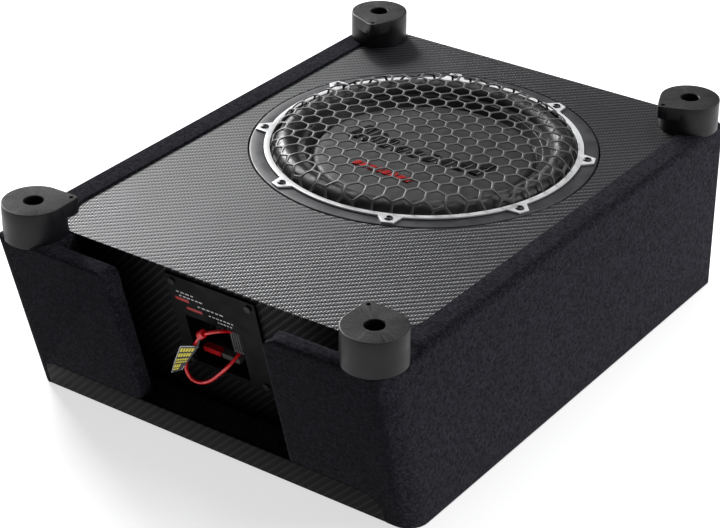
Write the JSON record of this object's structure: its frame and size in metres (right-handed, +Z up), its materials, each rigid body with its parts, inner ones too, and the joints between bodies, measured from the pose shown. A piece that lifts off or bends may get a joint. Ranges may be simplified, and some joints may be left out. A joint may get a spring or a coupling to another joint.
{
  "type": "powered car subwoofer",
  "caption": "Shallow carpeted powered subwoofer box with a grilled driver, corner feet and a recessed amplifier panel.",
  "frame": {"origin": "middle of the object's outline in plan, on the plane of the base panel that it lies on", "axes": "+Z up out of the driver towards the feet, -Y towards the amplifier recess, +X to the right seen from the recess"},
  "size_m": [0.3992, 0.5516, 0.194],
  "materials": {
    "mdf": "raw machined fibreboard",
    "carpet": "short felted box carpet, blue-black",
    "carbon_vinyl": "embossed woven-look vinyl, satin",
    "sill_vinyl": "embossed woven-look vinyl, satin",
    "foot_plastic": "satin moulded black plastic with brushed top",
    "black_steel": "black oxide",
    "zinc_steel": "zinc plated",
    "basket_paint": "textured black powder coat",
    "trim_plastic": "smooth dark grey, semi-gloss",
    "silver_ring": "satin cast",
    "grille_paint": "gloss black",
    "foam": "closed-cell foam",
    "surround_rubber": "smooth, glossy",
    "cone_plastic": "moulded, fine texture",
    "cap_plastic": "moulded",
    "former_metal": "thin foil",
    "copper": "enamelled copper winding",
    "spider_cloth": "resin-dipped cloth",
    "motor_steel": "zinc plated",
    "ferrite": "sintered",
    "terminal_plastic": "moulded",
    "panel_plastic": "fine satin moulded",
    "knob_plastic": "moulded",
    "switch_plastic": "moulded",
    "socket_metal": "plated",
    "plug_plastic": "moulded",
    "red_fuse_plastic": "translucent moulded",
    "clear_fuse_plastic": "translucent moulded",
    "board_laminate": "glass-fibre laminate",
    "heatsink_metal": "extruded",
    "component_black": "moulded",
    "can_sleeve": "shrink sleeve",
    "lead_sheath": "flexible sheath",
    "red_sheath": "smooth flexible sheath, glossy",
    "tag_card": "printed card"
  },
  "bodies": {
    "root": {"base_board": "mdf", "baffle_board": "mdf", "rear_board": "mdf", "amp_wall_board": "mdf", "left_cheek_board": "mdf", "right_cheek_board": "mdf", "left_pillar": "mdf", "right_pillar": "mdf", "left_carpet": "carpet", "right_carpet": "carpet", "recess_floor_carpet": "carpet", "front_sill_trim": "sill_vinyl", "baffle_vinyl": "carbon_vinyl", "amp_wall_vinyl": "carbon_vinyl", "rear_vinyl": "carbon_vinyl", "base_vinyl": "carbon_vinyl", "front_left_foot": "foot_plastic", "front_right_foot": "foot_plastic", "rear_left_foot": "foot_plastic", "rear_right_foot": "foot_plastic", "foot_bolts": "black_steel", "foot_inserts": "zinc_steel", "gasket": "foam", "basket": "basket_paint", "trim_ring": "trim_plastic", "grille_ring": "silver_ring", "grille_mesh": "grille_paint", "driver_screws": "black_steel", "surround": "surround_rubber", "spider": "spider_cloth", "top_plate": "motor_steel", "magnet": "ferrite", "back_plate": "motor_steel", "terminal_strip": "terminal_plastic", "amp_plate": "panel_plastic", "rca_sockets": "socket_metal", "plug_socket": "terminal_plastic", "fuse_holders": "terminal_plastic", "amp_screws": "black_steel", "amp_board": "board_laminate", "amp_heatsink": "heatsink_metal", "toroid": "copper", "capacitors": "can_sleeve", "transistors": "component_black", "speaker_leads": "lead_sheath"},
    "cone_assembly": {"cone": "cone_plastic", "dust_cap": "cap_plastic", "voice_coil_former": "former_metal", "voice_coil": "copper"},
    "gain_control": {"gain_knob": "knob_plastic"},
    "crossover_control": {"crossover_knob": "knob_plastic"},
    "bass_control": {"bass_knob": "knob_plastic"},
    "phase_slider": {"phase_switch": "switch_plastic"},
    "main_fuse": {"red_fuse": "red_fuse_plastic"},
    "second_fuse": {"clear_fuse": "clear_fuse_plastic"},
    "plug": {"harness_plug": "plug_plastic", "pull_loop": "red_sheath", "pull_crimp": "red_sheath", "pull_tag": "tag_card"}
  },
  "joints": [
    {"name": "cone_travel", "type": "slide", "parent": "root", "child": "cone_assembly", "axis": [0, 0, 1], "range_m": [-0.008, 0.008], "stiffness_N_per_m": 4000, "deforming": ["surround", "spider"]},
    {"name": "gain_turn", "type": "hinge", "parent": "root", "child": "gain_control", "pos_m": [-0.028, -0.20077, 0.11959], "axis": [0, -0.9666, -0.2563], "range_deg": [-135, 135]},
    {"name": "crossover_turn", "type": "hinge", "parent": "root", "child": "crossover_control", "pos_m": [-0.017, -0.20077, 0.11959], "axis": [0, -0.9666, -0.2563], "range_deg": [-135, 135]},
    {"name": "bass_turn", "type": "hinge", "parent": "root", "child": "bass_control", "pos_m": [-0.006, -0.20077, 0.11959], "axis": [0, -0.9666, -0.2563], "range_deg": [-135, 135]},
    {"name": "phase_slide", "type": "slide", "parent": "root", "child": "phase_slider", "axis": [1, 0, 0], "range_m": [0, 0.004]},
    {"name": "main_fuse_pull", "type": "slide", "parent": "root", "child": "main_fuse", "axis": [0, -0.9666, -0.2563], "range_m": [0, 0.012]},
    {"name": "second_fuse_pull", "type": "slide", "parent": "root", "child": "second_fuse", "axis": [0, -0.9666, -0.2563], "range_m": [0, 0.012]},
    {"name": "plug_pull", "type": "slide", "parent": "root", "child": "plug", "axis": [0, -0.9666, -0.2563], "range_m": [0, 0.018]}
  ]
}
